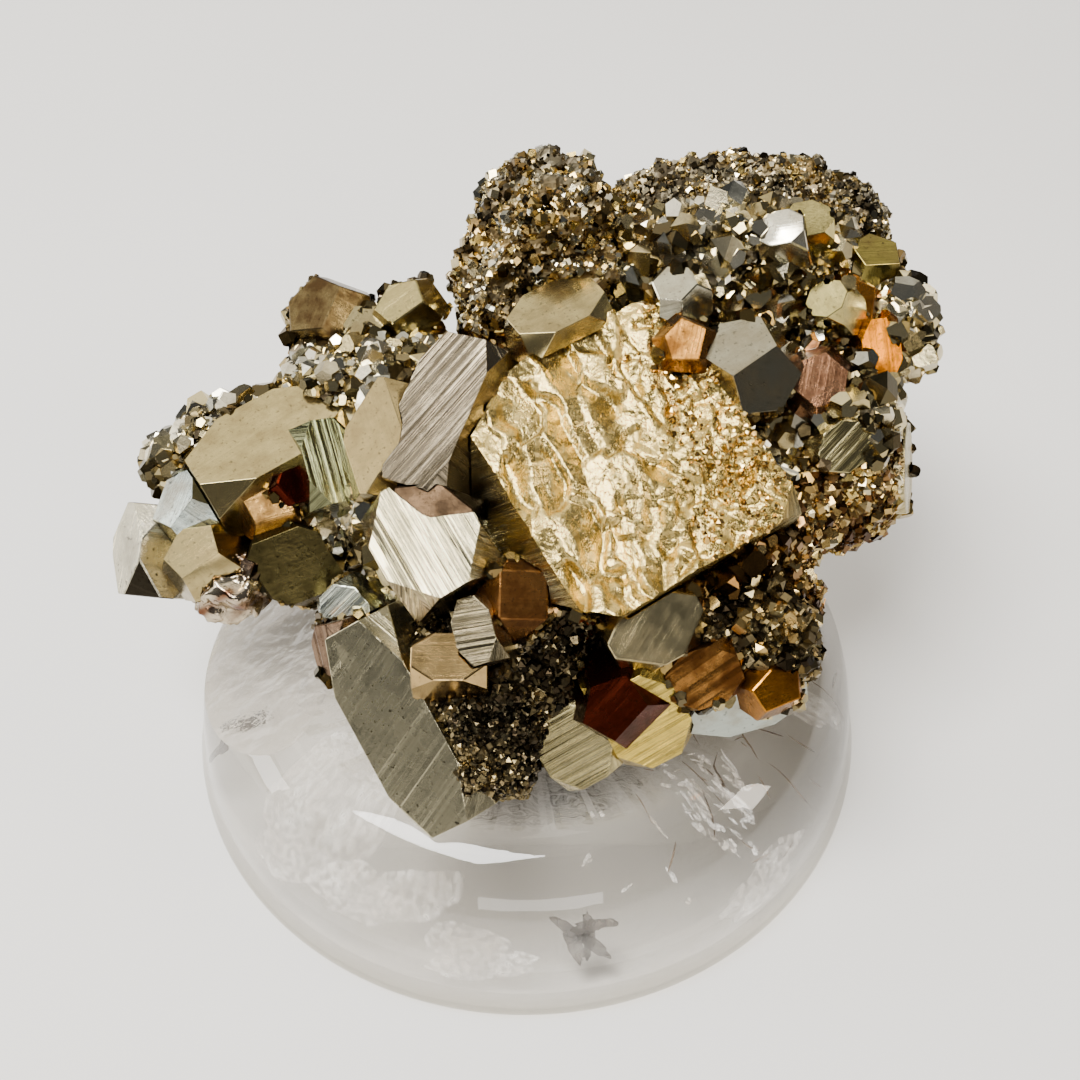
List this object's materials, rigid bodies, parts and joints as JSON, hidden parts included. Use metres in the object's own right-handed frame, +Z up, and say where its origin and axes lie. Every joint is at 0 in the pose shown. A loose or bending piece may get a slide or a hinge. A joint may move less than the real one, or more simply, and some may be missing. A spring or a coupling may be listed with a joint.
{
  "type": "pyrite specimen",
  "caption": "Cluster of intergrown metallic pyrite crystals, one of them broken across, lying on a low polished dome of clear quartz.",
  "frame": {"origin": "middle of the quartz dome's round underside, on the table", "axes": "+Z up, +X along the specimen's longest side towards its right end, +Y towards its back, so it is looked at from -Y and above"},
  "size_m": [0.1129, 0.0992, 0.0797],
  "materials": {
    "bright_pyrite": "gloss",
    "brown_pyrite": "gloss",
    "dark_pyrite": "satin",
    "massive_pyrite": "satin",
    "clear_quartz": "polished"
  },
  "bodies": {
    "root": {"quartz_base": "clear_quartz", "brown_lens_crystal": "brown_pyrite", "half_disc_crystal": "bright_pyrite", "violet_striated_crystal": "bright_pyrite", "amber_triangle_crystal": "brown_pyrite", "fine_striated_crystal": "bright_pyrite", "broken_cube_crystal": "bright_pyrite", "silver_striated_crystal": "bright_pyrite", "top_tan_crystal": "bright_pyrite", "black_rough_crystal": "dark_pyrite", "flake_crystal": "brown_pyrite", "blade_crystal": "bright_pyrite", "tan_strip_crystal": "bright_pyrite", "small_silver_crystal": "bright_pyrite", "left_red_crystal": "brown_pyrite", "left_amber_crystal": "brown_pyrite", "left_green_crystal": "bright_pyrite", "left_tan_crystal": "bright_pyrite", "left_blue_crystal": "bright_pyrite", "left_end_crystal": "bright_pyrite", "left_low_tan_crystal": "bright_pyrite", "left_crumpled_crystal": "bright_pyrite", "left_olive_crystal": "dark_pyrite", "upper_brown_crystal": "brown_pyrite", "upper_tan_crystal": "bright_pyrite", "upper_small_crystal": "bright_pyrite", "right_amber_crystal": "brown_pyrite", "right_large_crystal": "bright_pyrite", "right_ellipse_crystal": "brown_pyrite", "right_orange_crystal": "brown_pyrite", "right_pink_crystal": "brown_pyrite", "right_olive_crystal": "bright_pyrite", "right_white_crystal": "bright_pyrite", "right_flat_crystal": "bright_pyrite", "right_glint_crystal": "bright_pyrite", "right_top_crystal": "bright_pyrite", "right_striated_crystal": "bright_pyrite", "lower_grey_crystal": "bright_pyrite", "lower_red_crystal": "brown_pyrite", "lower_amber_crystal": "brown_pyrite", "lower_yellow_crystal": "bright_pyrite", "lower_brown_crystal": "brown_pyrite", "lower_blue_crystal": "bright_pyrite", "lower_step_crystal": "bright_pyrite", "lower_end_crystal": "dark_pyrite", "back_left_crystal": "bright_pyrite", "back_middle_crystal": "bright_pyrite", "back_right_crystal": "bright_pyrite", "right_side_crystal": "bright_pyrite", "under_left_crystal": "dark_pyrite", "back_low_crystal": "dark_pyrite", "pyrite_matrix": "massive_pyrite"}
  },
  "joints": []
}
